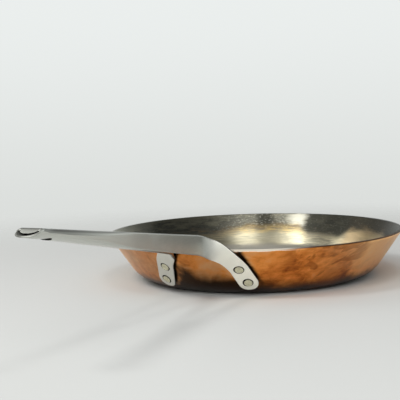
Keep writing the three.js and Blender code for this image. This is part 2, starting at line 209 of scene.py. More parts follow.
def makeCopperLook(look):
    material, board, place = newMaterial("agedCopper")
    reach, side, height = board.split(place)
    angle = board.maths("ARCTAN2", side, reach)
    clouds = board.noise(place, 13, 4, 0.55, 0.8, (1, 1, 1.3))
    smears = board.noise(place, 34, 5, 0.6, 0.9, (1, 1, 2))
    lines = board.noise(place, 48, 3, 0.6, 0, (1, 1, 26))
    pulled = board.along(place, look["stroke"]) * look["strokePull"]
    wiping = board.vector("SUBTRACT", place, board.vector("MULTIPLY", look["stroke"], pulled))
    strokes = board.noise(wiping, 125, 4, 0.6, 0.3)
    tone = board.blend((clouds, smears, strokes, lines), (0.46, 0.28, 0.22, 0.06))
    colour = board.ramp(tone, look["tones"])

    # painted reflection: paler towards the sides
    aside = board.maths("ABSOLUTE", side) + clouds.sway(0.10)
    colour = board.fade(colour, aside, look["flank"])
    # painted shade under the handle, which also lifts the painted base shade
    under = board.ease(reach, look["under"]["reach"]) * board.ease(aside, look["under"]["sides"])
    colour = board.stain(colour, under, look["under"])
    # painted shade darkening the wall towards its base
    lift = look["baseShadeLift"] + board.ease(side, (-0.006, -0.030)) * look["strapLift"]
    edge = height + clouds.sway(0.018) + smears.sway(0.010) - under * lift
    colour = board.fade(colour, edge, look["baseShade"])

    # painted shade beside the -Y strap, and painted reflection paler past it
    turned = angle + smears.sway(0.2)
    for mark, share in ((look["dull"], 0.5 + strokes.sway(-0.7)), (look["leftSheen"], 0.5 + smears.sway(0.8))):
        mask = board.ease(turned, mark["rise"]) * board.ease(angle, mark["fall"])
        colour = board.mix(mask * share, colour, mark["colour"])
    turned = angle + strokes.sway(0.12)
    low = board.ease(height + strokes.sway(0.02) + smears.sway(0.02), (0.040, 0.018))
    colour = board.stain(colour, board.window(turned, look["smudge"]) * low, look["smudge"])
    dabs = board.ease(board.noise(wiping, 62, 3, 0.55, 0.4), (0.525, 0.575))
    colour = board.stain(colour, dabs * board.window(turned, look["dabs"]), look["dabs"])

    # painted shade: a dark line beside each strap
    spread, drop = look["strapTop"]
    line = spread + ((look["rimHeight"] - height) / look["wallSine"] - drop) * look["strapSpread"]
    beside = angle * board.axisDistance(reach, side) - line * board.maths("SIGN", side) - look["strapEdge"]
    edgeShade = board.ease(beside + smears.sway(0.006), (0.0046, 0.0004)) * board.ease(beside, (-0.004, 0))
    edgeShade = edgeShade * board.ease(reach, (0.05, 0.08)) * board.ease(height, (0.002, 0.022))
    colour = board.mix(edgeShade, colour, look["edgeShade"])
    wipeAndSheen = board.ease(height + smears.sway(0.004), (0.0457, 0.0462))
    wipeAndSheen = wipeAndSheen * board.ease(board.along(place, viewWays["across"]) + smears.sway(0.03), (0.040, 0.008))
    colour = board.mix(wipeAndSheen, colour, look["edgeTin"])
    rough = look["rough"] + smears.sway(0.16) + lines.sway(0.05) + wipeAndSheen * 0.25
    finishMetal(board, colour, rough, board.blend((lines, smears, strokes), (0.3, 0.5, 0.2)), 0.00035)
    return material


greyTin = (0.32, 0.30, 0.225)
lightTin = (0.78, 0.715, 0.50)
sootTin = (0.026, 0.027, 0.023)
slateTin = (0.125, 0.130, 0.112)
brownTin = (0.17, 0.120, 0.070)
tinLook = dict(
    tones=[(0.36, (0.15, 0.145, 0.095)), (0.48, greyTin), (0.64, lightTin)],
    # painted highlight: a lighter band over the middle of the far wall
    wipeAndSheen=dict(colour=lightTin, share=0.65, rise=(-0.048, 0.002), fall=(0.0715, 0.0565)),
    dim=dict(colour=greyTin, share=0.5, rise=(0.004, 0.018), fall=(0.038, 0.024)),  # painted shade: a darker streak in that
    wisps=dict(colour=greyTin, share=0.6, span=(0.56, 0.40)),
    # painted reflection: a lighter, warmer patch low on the right of the far wall
    rightSheen=dict(colour=(0.55, 0.385, 0.195), share=0.65, across=(0.0845, 0.0945), beyond=(-0.02, 0.03)),
    foot=dict(colour=(0.62, 0.59, 0.53), share=0.8, span=(0.017, 0.011)),  # painted reflection, lighter just above the pan's floor
    bandFoot=0.0348,  # the darkened band under the rim begins here, metres above the base
    bandTones=[(0, brownTin), (0.25, slateTin), (0.5, sootTin), (0.7, slateTin),
               (0.9, sootTin), (1, (0.14, 0.137, 0.105))],  # upward
    bandDepth=0.014,
    sideStain=0.0078,  # how much lower the band comes beside the painted bright part, as painted shade
    sooty=dict(colour=sootTin, share=0.85, span=(0.056, 0.072)),  # right of the painted bright part
    fleck=(0.46, 0.45, 0.39),
    straw=(0.62, 0.44, 0.15),  # the heat tint below the band, with brown in it
    fringe=dict(rise=(-0.0102, -0.0017), fall=(0.006, 0.001)),  # its heights about the band's foot
    highlightAt=(-0.1487, -0.0030, 0.0403),  # painted highlight through the band, near the far rim
    highlightSize=(0.017, 0.008),
    spot=dict(colour=(0.56, 0.57, 0.52), share=0.6),
    lip=(0.92, 0.86, 0.75),  # the rim's top, rubbed bright near the handle
    worn=(0.17, 0.095, 0.050),  # and worn brown to its right
    rough=0.31,
)


def makeTinLook(look):
    material, board, place = newMaterial("wipedTin")
    reach, side, height = board.split(place)
    across, beyond = (board.along(place, viewWays[way]) for way in ("across", "beyond"))
    clouds = board.noise(place, 15, 3, 0.5, 0.6)
    wipes = board.noise(place, 46, 5, 0.6, 0.4, (1, 1, 4))
    radius = board.axisDistance(reach, side)
    turning = board.add("ShaderNodeCombineXYZ", {}, {"X": radius * 56, "Y": reach, "Z": side})
    lines = board.noise(turning, 55, 3, 0.6)
    colour = board.ramp(board.blend((clouds, wipes, lines), (0.44, 0.32, 0.24)), look["tones"])

    # painted highlight over the middle of the far wall, with a painted-shade streak in it
    drift = across + clouds.sway(0.02)
    wipeAndSheen, dim = (board.window(drift, look[name]) for name in ("wipeAndSheen", "dim"))
    colour = board.stain(colour, wipeAndSheen, look["wipeAndSheen"])
    colour = board.stain(colour, dim, look["dim"])
    colour = board.fade(colour, board.blend((lines, wipes), (0.6, 0.4)), look["wisps"])
    # painted reflection: a lighter, warmer patch low on the right of the far wall
    rightSheen = board.ease(across - height * 0.57 + wipes.sway(0.006), look["rightSheen"]["across"])
    rightSheen = rightSheen * board.ease(beyond, look["rightSheen"]["beyond"])
    colour = board.stain(colour, rightSheen, look["rightSheen"])
    # painted reflection, lighter low on the wall
    colour = board.fade(colour, height + wipes.sway(0.005), look["foot"])

    # the band's foot, set lower outside the painted bright parts as painted shade
    edge = height + clouds.sway(0.009) + wipes.sway(0.010) + lines.sway(0.006)
    edge = edge + (1 - wipeAndSheen) * (1 - rightSheen * 0.9) * look["sideStain"] - look["bandFoot"]
    # a painted highlight near the far rim, and where the band is weaker
    away = board.vector("MULTIPLY", board.vector("SUBTRACT", place, look["highlightAt"]), (1, 1, 1.12))
    distance = board.vector("LENGTH", away, output="Value") + wipes.sway(0.020)
    bandStrength = 1 - board.ease(distance, look["highlightSize"]) * 0.94
    bandStrength = bandStrength * (1 - board.ease(drift, (-0.105, -0.125)) * 0.28) * (1 - wipeAndSheen * (1 - dim) * 0.16)
    straw = board.window(edge, look["fringe"]) * (wipeAndSheen * 0.62 + 0.14)
    browned = board.ease(board.blend((wipes, lines), (0.5, 0.5)), (0.44, 0.56))
    colour = board.mix(straw, colour, board.mix(browned, brownTin, look["straw"]))
    band = board.ease(edge, (-0.0045, 0.0045)) * bandStrength
    stain = board.ramp(edge / look["bandDepth"] + lines.sway(1.9) + wipes.sway(1.6), look["bandTones"])
    stain = board.fade(stain, drift, look["sooty"])
    stain = board.mix(dim * 0.6, stain, sootTin)
    flecks = board.noise(place, 330, 2, 0.6, 0, (1, 1, 2))
    stain = board.mix(board.ease(flecks, (0.56, 0.66)) * (wipeAndSheen * 0.5 + 0.08), stain, look["fleck"])
    stain = board.mix(board.ease(flecks, (0.48, 0.36)) * wipeAndSheen * 0.8, stain, sootTin)
    colour = board.mix(band * 0.94, colour, stain)
    # painted highlight near the far rim
    colour = board.stain(colour, (1 - bandStrength) * board.ease(edge, (0, 0.006)), look["spot"])

    lip = board.ease(height, (0.0466, 0.0475)) * board.ease(beyond, (-0.02, -0.09))
    worn = board.ease(across + wipes.sway(0.02), (0.012, 0.052))
    colour = board.mix(lip, colour, board.mix(worn, look["lip"], look["worn"]))
    rough = look["rough"] + wipes.sway(0.08) + lines.sway(0.03) + band * 0.10 + lip * 0.2
    finishMetal(board, colour, rough, board.blend((lines, clouds), (0.7, 0.3)), 0.0001)
    return material


steelLook = dict(
    tones=[(0.36, (0.38, 0.385, 0.355)), (0.62, (0.48, 0.485, 0.45))],
    grip=dict(colour=(0.64, 0.65, 0.60), share=0.8, span=(0.225, 0.335)),  # painted light: lighter along the grip than at the root
    straps=((0.74, 0.73, 0.68), (0.98, 0.97, 0.90)),  # painted light: lit copies of the steel, on -Y and brighter on +Y
    strapReach=(0.166, 0.150),  # where they begin, metres from the pan's axis
    mottle=dict(colour=(0, 0, 0), share=0.05, span=(0.62, 0.40)),  # on the straps
    shadeColour=(0.032, 0.030, 0.025),  # painted shade: the straps' sides and backs, the hollow, the holes
    tipReach=(0.408, 0.413),  # where the cut end begins
    rough=0.325,
    strapRough=0.80,
    tipRough=0.60,
)


def makeSteelLook(look):
    material, board, place = newMaterial("satinSteel")
    reach, side = board.split(place, "XY")
    grain = board.noise(place, 90, 4, 0.65, 0, (1, 14, 14))
    clouds = board.noise(place, 26, 4, 0.5, 0.4, (1, 2, 2))
    colour = board.ramp(board.blend((grain, clouds), (0.35, 0.65)), look["tones"])
    # painted light: the grip lighter than the root
    colour = board.fade(colour, reach, look["grip"])
    # painted light: the straps lighter than the grip, +Y more than -Y
    strap = board.ease(reach, look["strapReach"])
    metal = board.mix(board.ease(side, (-0.01, 0.01)), *look["straps"])
    metal = board.fade(metal, board.blend((grain, clouds), (0.4, 0.6)), look["mottle"])
    colour = board.mix(strap, colour, metal)
    # painted shade on the hollow, the upper corner, the straps' backs and the cut end's lip
    unpolished = board.add("ShaderNodeAttribute", {"attribute_name": "unpolished"}, output="Fac")
    colour = board.mix(unpolished, colour, look["shadeColour"])
    tip = board.ease(reach, look["tipReach"])
    rough = look["rough"] + grain.sway(0.06) + clouds.sway(0.05)
    rough = rough + strap * (look["strapRough"] - look["rough"]) + tip * (look["tipRough"] - look["rough"])
    finishMetal(board, colour, rough, board.blend((grain, clouds), (0.7, 0.3)), 0.00003)
    return material


rivetLook = dict(
    tones=[(0.38, (0.56, 0.54, 0.41)), (0.60, (0.80, 0.78, 0.62))],
    edgeShade=(0.040, 0.037, 0.030),  # painted shade on the rivets' sides
    rough=0.72,
)


def makeRivetLook(look):
    material, board, place = newMaterial("wornRivet")
    pits = board.noise(place, 900, 3, 0.6)
    clouds = board.noise(place, 260, 3, 0.5, 0.5)
    colour = board.ramp(board.blend((pits, clouds), (0.35, 0.65)), look["tones"])
    # painted shade on the rivets' sides
    flank = board.add("ShaderNodeAttribute", {"attribute_name": "flank"}, output="Fac")
    colour = board.mix(flank, colour, look["edgeShade"])
    finishMetal(board, colour, look["rough"] + pits.sway(0.14) + clouds.sway(0.10), pits, 0.00012)
    return material


# painted shade for the hang hole's and the rivets' mouths' walls
def makeShadedLook(colour):
    material, board, place = newMaterial("rawSteel")
    scale = board.noise(place, 300, 3, 0.6)
    shade = board.ramp(scale, [(0.35, [part * 0.6 for part in colour]), (0.65, colour)])
    finishMetal(board, shade, 0.6 + scale.sway(0.2), scale, 0.0001)
    return material


copper = makeCopperLook(copperLook)
tin = makeTinLook(tinLook)
steel = makeSteelLook(steelLook)
rawSteel = makeShadedLook(steelLook["shadeColour"])
rivetSteel = makeRivetLook(rivetLook)
print("materials made")


# Geometry Nodes: an outline, as radius and height in X and Y, turned round Z

def newTree(name, inputs):
    tree = bpy.data.node_groups.new(name, "GeometryNodeTree")
    tree.interface.new_socket("Geometry", in_out="OUTPUT", socket_type="NodeSocketGeometry")
    for label, kind in inputs.items():
        tree.interface.new_socket(label, in_out="INPUT", socket_type="NodeSocket" + kind)
    board = Board(tree)
    source = tree.nodes.new("NodeGroupInput")
    return tree, board, {label: Wire(board, source.outputs[label]) for label in inputs}


def turnOutline(board, outline, segments):
    count = board.add("GeometryNodeAttributeDomainSize", {"component": "MESH"}, {0: outline}, "Point Count")
    sizes = {"Size X": 1.0, "Size Y": 1.0, "Vertices X": segments + 1, "Vertices Y": count}
    grid = board.add("GeometryNodeMeshGrid", {}, sizes, "Mesh")
    place = board.add("GeometryNodeInputPosition")
    across, along = board.split(place, "XY")
    turn = (across + 0.5) * (2 * pi)
    row = board.add("FunctionNodeFloatToInt", {"rounding_mode": "ROUND"}, {0: (along + 0.5) * (count - 1)})
    sockets = {"Geometry": outline, "Value": place, "Index": row}
    point = board.add("GeometryNodeSampleIndex", {"data_type": "FLOAT_VECTOR"}, sockets, "Value")
    radius, height = board.split(point, "XY")
    sides = {"X": radius * board.maths("COSINE", turn), "Y": radius * board.maths("SINE", turn), "Z": height}
    spot = board.add("ShaderNodeCombineXYZ", {}, sides)
    shape = board.add("GeometryNodeSetPosition", {}, {"Geometry": grid, "Position": spot})
    return board.add("GeometryNodeMergeByDistance", {}, {"Geometry": shape, "Distance": 1e-6})


def endTree(board, shape, material):
    whole = board.add("GeometryNodeRealizeInstances", {}, {"Geometry": shape})
    painted = board.add("GeometryNodeSetMaterial", {}, {"Geometry": whole, "Material": material})
    board.add("NodeGroupOutput", {}, {0: painted})


def makeTurnedTree():
    kinds = {"Outline": "Geometry", "Segments": "Int", "Metal": "Material"}
    tree, board, wires = newTree("turnedBowl", kinds)
    endTree(board, turnOutline(board, wires["Outline"], wires["Segments"]), wires["Metal"])
    return tree


def makeRivetTree():
    kinds = {"Places": "Geometry", "Outline": "Object", "Segments": "Int", "Tail": "Float"}
    tree, board, wires = newTree("setRivets", {**kinds, "Metal": "Material"})
    outline = board.add("GeometryNodeObjectInfo", {}, {"Object": wires["Outline"]}, "Geometry")
    rivet = turnOutline(board, outline, wires["Segments"])
    x, y, z = board.split(board.add("GeometryNodeInputPosition"))
    # painted shade on the rivets' sides, stored as flank
    band = [wires["Tail"] - inset * mm for inset in rivets["flankBand"]]
    flank = board.ease(board.axisDistance(x, y), band) * board.ease(z, (0, rivets["flankRise"] * mm))
    sockets = {"Geometry": rivet, "Name": "flank", "Value": flank}
    rivet = board.add("GeometryNodeStoreNamedAttribute", {"data_type": "FLOAT", "domain": "POINT"}, sockets)
    kind = {"data_type": "FLOAT_VECTOR"}
    axis = board.add("GeometryNodeInputNamedAttribute", kind, {"Name": "axis"}, "Attribute")
    turn = board.add("FunctionNodeAlignRotationToVector", {"axis": "Z"}, {"Vector": axis}, "Rotation")
    sockets = {"Points": wires["Places"], "Instance": rivet, "Rotation": turn}
    endTree(board, board.add("GeometryNodeInstanceOnPoints", {}, sockets), wires["Metal"])
    return tree


def addObject(name, data):
    thing = bpy.data.objects.new(name, data)
    scene.collection.objects.link(thing)
    return thing


def shapeObject(name, shape):
    mesh = bpy.data.meshes.new(name)
    shape.to_mesh(mesh)
    shape.free()
    return addObject(name, mesh)


def lineMesh(name, points):
    mesh = bpy.data.meshes.new(name)
    edges = [(i, i + 1) for i in range(len(points) - 1)]
    mesh.from_pydata([(x * mm, y * mm, 0) for x, y in points], edges, [])
    return addObject(name, mesh)


# sets a tree's inputs, takes its result as the object's own mesh, and drops the modifier
def applyTree(thing, tree, values):
    modifier = thing.modifiers.new(tree.name, "NODES")
    modifier.node_group = tree
    sockets = {item.name: item.identifier for item in tree.interface.items_tree if item.in_out == "INPUT"}
    for label, value in values.items():
        modifier[sockets[label]] = value
    bakeModifiers(thing)


def bakeModifiers(thing):
    bpy.context.view_layer.update()
    seen = thing.evaluated_get(bpy.context.evaluated_depsgraph_get())
    mesh = bpy.data.meshes.new_from_object(seen)
    thing.modifiers.clear()
    old = thing.data
    thing.data = mesh
    mesh.name = thing.name
    bpy.data.meshes.remove(old)


# merges doubles, turns the faces outward and shades smooth up to a crease in degrees
def cleanMesh(thing, crease):
    shape = bmesh.new()
    shape.from_mesh(thing.data)
    bmesh.ops.remove_doubles(shape, verts=shape.verts, dist=2e-6)
    bmesh.ops.recalc_face_normals(shape, faces=shape.faces)
    loose = sum(1 for edge in shape.edges if not edge.is_manifold)
    shape.to_mesh(thing.data)
    shape.free()
    thing.data.shade_smooth()
    thing.data.set_sharp_from_angle(angle=radians(crease))
    triangles = sum(len(face.vertices) - 2 for face in thing.data.polygons)
    print(thing.name, "triangles:", triangles, "open edges:", loose)


def unit(way):
    return way / np.linalg.norm(way)


# a polyline of x, y and rounding, with points held near each end of a straight
def roundedLine(corners, steps=5, hold=0.25, longest=4.0):
    spots = []
    for i, (x, y, radius) in enumerate(corners):
        here = np.array([x, y], float)
        if radius <= 0 or i in (0, len(corners) - 1):
            spots.append(here)
            continue
        back = unit(np.array(corners[i - 1][:2], float) - here)
        ahead = unit(np.array(corners[i + 1][:2], float) - here)
        half = acos(np.clip(np.dot(back, ahead), -1, 1)) / 2
        middle = here + unit(back + ahead) * radius / sin(half)
        start = here + back * radius / tan(half) - middle
        end = here + ahead * radius / tan(half) - middle
        sweep = pi - 2 * half
        for k in range(steps + 1):
            share = k / steps
            turned = start * sin((1 - share) * sweep) + end * sin(share * sweep)
            spots.append(middle + turned / sin(sweep))
    line = [spots[0]]
    for a, b in zip(spots, spots[1:]):
        length = np.linalg.norm(b - a)
        shares = []
        if length > 4 * hold:
            count = max(1, ceil(length / longest))
            shares = [hold / length, *(k / count for k in range(1, count)), 1 - hold / length]
        line += [a + (b - a) * share for share in shares] + [b]
    return [tuple(spot) for spot in line]


# pan: the copper bowl and the tin inside it, both turned from an outline

pan = dict(
    rimRadius=152.5,
    height=48,
    slope=55.5,
    cornerRadius=34,
    floorRings=(0.2, 0.4, 0.6, 0.8, 0.95),  # shares of the flat base's radius
    copperWall=2.4,
    rimUpright=1.6,  # height of the edge trued upright above the flare
    rimRounds=(0.3, 0.42, 0.15),  # at that edge's foot, its top and inside
    liningWall=0.6,
    liningGap=0.2,
    lipSetback=0.5,
    lipRounds=(0.1, 0.28, 0.5),  # under the lip, at its edge and inside
    segments=288,
    crease=60,
)
slope = radians(pan["slope"])
cornerTop = pan["cornerRadius"] * (1 - cos(slope))
straightLength = (pan["height"] - cornerTop) / sin(slope)
baseRadius = pan["rimRadius"] - straightLength * cos(slope) - pan["cornerRadius"] * sin(slope)


# the bowl from its axis out to the wall's top, moved in by a thickness
def bowlLine(inset, top, steps=18):
    radius = pan["cornerRadius"] - inset
    points = [(0, inset, 0)]
    points += [(baseRadius * share, inset, 0) for share in pan["floorRings"]]
    for i in range(steps + 1):
        angle = slope * i / steps
        across = baseRadius + radius * sin(angle)
        points.append((across, pan["cornerRadius"] - radius * cos(angle), 0))
    x, y, _ = points[-1]
    points.append((x + (top - y) / tan(slope), top, 0))
    return points


def makePan():
    tree = makeTurnedTree()
    top = pan["height"] - pan["liningWall"] - pan["liningGap"]
    footRound, edgeRound, innerRound = pan["rimRounds"]
    outer = bowlLine(0, top)
    inner = bowlLine(pan["copperWall"], top)
    edge = outer[-1][0] - pan["rimUpright"] / tan(slope)
    outer[-1:] = [(edge, top - pan["rimUpright"], footRound), (edge, top, edgeRound)]
    inner[-1] = (inner[-1][0], top, innerRound)
    body = lineMesh("panBody", roundedLine(outer + inner[::-1]))
    applyTree(body, tree, {"Segments": pan["segments"], "Metal": copper})

    inset = pan["copperWall"] + pan["liningGap"]
    under = pan["height"] - pan["liningWall"]
    lip = pan["rimRadius"] - pan["lipSetback"]
    underRound, edgeRound, innerRound = pan["lipRounds"]
    outer = bowlLine(inset, under)
    outer += [(lip, under, underRound), (lip, pan["height"], edgeRound)]
    inner = bowlLine(inset + pan["liningWall"], pan["height"])
    inner[-1] = (inner[-1][0], pan["height"], innerRound)
    lining = lineMesh("tinLining", roundedLine(outer + inner[::-1], steps=4, hold=0.12))
    applyTree(lining, tree, {"Segments": pan["segments"], "Metal": tin})
    return body, lining


panBody, tinLining = makePan()
for piece in (panBody, tinLining):
    cleanMesh(piece, pan["crease"])
print("pan turned")


# a place on the wall, lifted off it, and the way out of the wall there

def wallPlace(spread, drop, lift):
    turned = max(0, drop - straightLength) / pan["cornerRadius"]
    lean = max(0, slope - turned)
    outX, outZ = sin(lean), -cos(lean)
    above = max(0, straightLength - drop)
    radius = baseRadius + pan["cornerRadius"] * outX + above * cos(slope)
    height = pan["cornerRadius"] * (1 + outZ) + above * sin(slope)
    angle = spread / radius
    normal = np.array([outX * cos(angle), outX * sin(angle), outZ])
    place = np.array([radius * cos(angle), radius * sin(angle), height])
    return place + normal * lift, normal


# rivets: one outline about the axis, from the copper outward, set at four places

rivets = dict(
    upperSpread=37.4,  # round the wall from the handle's middle
    upperDrop=22.4,  # down the wall from the rim
    pitchSpread=4.4,
    pitchDrop=16.6,
    shank=3.0,
    tail=4.15,
    tailDepth=1.5,
    tailEdge=0.55,
    face=3.15,
    faceDome=0.12,
    crown=(0.6, 0.35),  # on the dome, shares of the tail's radius and of the dome's height
    dimpleBrim=1.25,
    dimpleFloor=(0.4, 0.9),  # radius, and share of the depth
    dimpleDepth=0.45,
    head=7.0,
    headHeight=2.4,
    headSeat=-3.5,
    headSteps=8,
    flankBand=(0.30, 0.05),  # in from the tail's edge, where the painted shade begins and is full
    flankRise=1.0,
    segments=48,
    crease=40,
)


def rivetLine():
    points = []
    for i in range(rivets["headSteps"] + 1):
        angle = pi / 2 * i / rivets["headSteps"]
        depth = rivets["headHeight"] * cos(angle)
        points.append((rivets["head"] * sin(angle), rivets["headSeat"] - depth, 0))
    face, tail, dome = rivets["face"], rivets["tail"], rivets["faceDome"]
    crown, crownDrop = rivets["crown"]
    floor, floorDrop = rivets["dimpleFloor"]
    points += [
        (rivets["shank"], rivets["headSeat"], 0),
        (rivets["shank"], face - rivets["tailDepth"], 0),
        (tail, face - dome - rivets["tailEdge"], 0.1),
        (tail, face - dome, 0.4),
        (tail * crown, face - dome * crownDrop, 0.8),
        (rivets["dimpleBrim"], face, 0.25),
        (floor, face - rivets["dimpleDepth"] * floorDrop, 0.15),
        (0, face - rivets["dimpleDepth"], 0),
    ]
    return roundedLine(points, steps=4, hold=0.08, longest=1.2)


def rivetPlaces():
    places = []
    for side in (1, -1):
        for row in (0, 1):
            spread = side * (rivets["upperSpread"] + rivets["pitchSpread"] * row)
            places.append(wallPlace(spread, rivets["upperDrop"] + rivets["pitchDrop"] * row, 0))
    return places


def makeRivets():
    places = rivetPlaces()
    mesh = bpy.data.meshes.new("rivetSet")
    mesh.from_pydata([tuple(place * mm) for place, _ in places], [], [])
    axis = mesh.attributes.new("axis", "FLOAT_VECTOR", "POINT")
    axis.data.foreach_set("vector", np.concatenate([normal for _, normal in places]))
    thing = addObject("rivetSet", mesh)
    outline = lineMesh("rivetOutline", rivetLine())
    values = {"Outline": outline, "Segments": rivets["segments"], "Tail": rivets["tail"] * mm}
    applyTree(thing, makeRivetTree(), {**values, "Metal": rivetSteel})
    bpy.data.objects.remove(outline)
    return thing


rivetSet = makeRivets()
cleanMesh(rivetSet, rivets["crease"])
print("rivets set")


# handle: a folded sheet lofted from the tip to the straps, one half mirrored

handle = dict(
    sheet=2.4,
    edgeRound=1.0,
    foldLeast=0.8,  # smallest radius inside a fold
    gripWidth=19,
    gripCorner=3.8,
    gripBelly=5,
    rootReach=172,  # reaches are from the pan's axis
    spreadReach=252,
    crotchReach=268,
    fadeLength=72,
    tipReach=421,
    rootBottom=45.8,
    rootHeight=18.1,
    tipRise=48.2,
    tipHeight=6.8,
    rootHalfWidth=15.3,
    spreadCurve=1.3,
    uprightFrom=(4, 45),  # past the root, where leaning sections turn upright
    strapWidth=18.6,
    strapFace=2.7,  # the outer face, off the wall
    bendPull=14,
    landingPull=20,
    landingLift=3,
    twist=(0.1, 0.8),  # the part of the bend where the sheet turns on to the wall
    ovalReach=376.45,  # the underside is a half oval from here to the tip
    noseLength=8,
    scoopLength=12,
    scoopSag=0.4,
    lipHeight=1,
    tipLength=20,  # what the scoop and the nose shape
    tipCorner=(26, 12),  # back from the tip, where the upper corner shrinks
    tipShrink=0.5,
    slotFrom=(20, 10),  # back from the tip, where the hollow flattens into a slot
    slotLow=(8.5, 4.1, 1.8),  # width and depth of its lower side, and the level they start from
    slotHigh=(6.9, 2.3, 1.9),
    rimBevel=0.25,  # round the cut end
    holeLength=13,
    holeWidth=13.8,
    holeSetback=24,
    holeLevels=(-6, 18),  # the cut, about the underside
    rivetMouth=5.05,
    mouthDepth=2.0,
    mouthTop=8,
    mouthRise=0.35,  # the rivets sit low in their mouths
    mouthInset=0.25,  # and a little outward
    arcSteps=6,
    jointShift=3,  # rings from the leg's end to the middle of its easing
    crease=38,
)
shadeShares = {"corner": 0.62, "hollow": {1: 1, -1: 0.45}, "lip": {1: 0.3, -1: 0.6}}  # painted shade on the upper corner, the hollow and the cut end's lip, on +Y and -Y
pitch = hypot(rivets["pitchSpread"], rivets["pitchDrop"])
gripInside = handle["gripWidth"] / 2 - handle["sheet"]


def lerp(a, b, share):
    return a + (b - a) * share


def eased(value, start, end):
    share = min(1, max(0, (value - start) / (end - start)))
    return share * share * (3 - 2 * share)


def handleEdges(reach):
    share = (reach - handle["rootReach"]) / (handle["tipReach"] - handle["rootReach"])
    bottom = handle["rootBottom"] + handle["tipRise"] * share
    return bottom, bottom + lerp(handle["rootHeight"], handle["tipHeight"], share)


def halfWidth(reach):
    share = (handle["spreadReach"] - reach) / (handle["spreadReach"] - handle["rootReach"])
    share = min(1, max(0, share))
    return lerp(handle["gripWidth"] / 2, handle["rootHalfWidth"], share ** handle["spreadCurve"])


def armLength(reach):
    wide = halfWidth(reach)
    if reach >= handle["crotchReach"]:
        return wide
    into = min(1, (handle["crotchReach"] - reach) / gripInside)
    return wide - gripInside * sqrt(1 - (1 - into) ** 2) if into < 1 else handle["sheet"]


# a quarter turn about a centre, from an angle in degrees
def quarter(x, y, radius, start, turn=90, width=None):
    steps = handle["arcSteps"]
    angles = [radians(start + turn * i / steps) for i in range(steps + 1)]
    return [(x + (width or radius) * cos(a), y + radius * sin(a)) for a in angles]


# points held near the ends of a straight, and its middle
def held(a, b, hold=0.4):
    length = dist(a, b)
    near = hold / length if length > 4 * hold else 0.25
    return [(lerp(a[0], b[0], s), lerp(a[1], b[1], s)) for s in (near, 0.5, 1 - near)]


# an inner outline drawn towards one side of the slot
def slotted(inner, reach, side, slot, order=1):
    width, depth, level = side
    steps = len(inner) - 1
    turns = [pi / 2 * i / steps for i in range(steps + 1)][::order]
    goal = [(reach - width * sin(a), level - depth * cos(a)) for a in turns]
    return [tuple(np.array(a) * (1 - slot) + np.array(b) * slot) for a, b in zip(inner, goal)]


# one section as depth from the outer face and level from its middle, as far as its height has room
def foldedSection(height, arm, corner, belly, armEdge, oval=0, slot=0):
    sheet = handle["sheet"]
    half = height / 2
    reach = max(arm, sheet)
    limit = max(sheet / 2, reach - sheet)
    corner = min(corner, limit, height * 0.48)
    belly = min(belly, limit, height * 0.6)
    edge = min(armEdge, sheet / 2, height / 6)
    web = half - min(sheet, height / 4)
    room = max(0, reach - sheet)
    upperFold = min(max(corner - sheet, handle["foldLeast"]), room, web * 0.9)
    lowerFold = min(max(belly - sheet, handle["foldLeast"]), room, web)
    bellyWide = lerp(belly, reach - handle["edgeRound"], oval)
    foldWide = lerp(lowerFold, room * 0.95, oval)
    lowerInner = [(reach, -web)]
    lowerInner += quarter(sheet + foldWide, lowerFold - web, lowerFold, 270, -90, foldWide)
    upperInner = quarter(sheet + upperFold, web - upperFold, upperFold, 180, -90) + [(reach, web)]
    if slot > 0:
        lowerInner = slotted(lowerInner, reach, handle["slotLow"], slot)
        upperInner = slotted(upperInner, reach, handle["slotHigh"], slot, -1)
    parts = [
        quarter(reach - edge, half - edge, edge, 0),
        quarter(corner, half - corner, corner, 90),
        quarter(bellyWide, belly - half, belly, 180, 90, bellyWide),
        quarter(reach - edge, edge - half, edge, 270),
    ]
    points = list(parts[0])
    for before, after in zip(parts, parts[1:]):
        points += held(before[-1], after[0]) + after
    ends = [len(points) - 1]  # where a face on an arm's end begins
    points += lowerInner + held(lowerInner[-1], upperInner[0]) + upperInner
    ends.append(len(points) - 1)
    return np.array(points), ends


# how far out the tip comes: the scoop's reach at a level, or the nose's beside the middle
def tipEnd(side, level, steps=60):
    start, tip = handle["tipReach"] - handle["scoopLength"], handle["tipReach"]
    top = handleEdges(start)[1]
    low = handleEdges(tip)[0] + handle["lipHeight"]
    bowX, bowZ = start + handle["scoopLength"] / 2, (top + low) / 2 - handle["scoopSag"]
    scoop = tip
    if level > low:
        t = np.linspace(0, 1, steps)
        xs = (1 - t) ** 2 * start + 2 * t * (1 - t) * bowX + t ** 2 * tip
        zs = (1 - t) ** 2 * top + 2 * t * (1 - t) * bowZ + t ** 2 * low
        scoop = float(np.interp(-level, -zs, xs))
    part = min(1, abs(side) / (handle["gripWidth"] / 2))
    nose = tip - handle["noseLength"] * (1 - sqrt(1 - part * part))
    return min(scoop, nose)


def sideRing(reach, upright):
    bottom, top = handleEdges(reach)
    crotch, tip = handle["crotchReach"], handle["tipReach"]
    grip = eased(reach, crotch, crotch + handle["fadeLength"])
    corner = lerp(handle["edgeRound"], handle["gripCorner"], grip)
    corner *= 1 - handle["tipShrink"] * eased(reach, *(tip - back for back in handle["tipCorner"]))
    belly = lerp(handle["edgeRound"], handle["gripBelly"], grip)
    armEdge = handle["edgeRound"] if reach < crotch else 0
    slot = eased(reach, *(tip - back for back in handle["slotFrom"]))
    oval = eased(reach, crotch + handle["fadeLength"], handle["ovalReach"])
    section, ends = foldedSection(top - bottom, armLength(reach), corner, belly, armEdge, oval, slot)
    centre = np.array([reach, halfWidth(reach), (top + bottom) / 2])
    inward = np.array([0, -1, 0])
    return centre + section[:, :1] * inward + section[:, 1:] * upright, ends


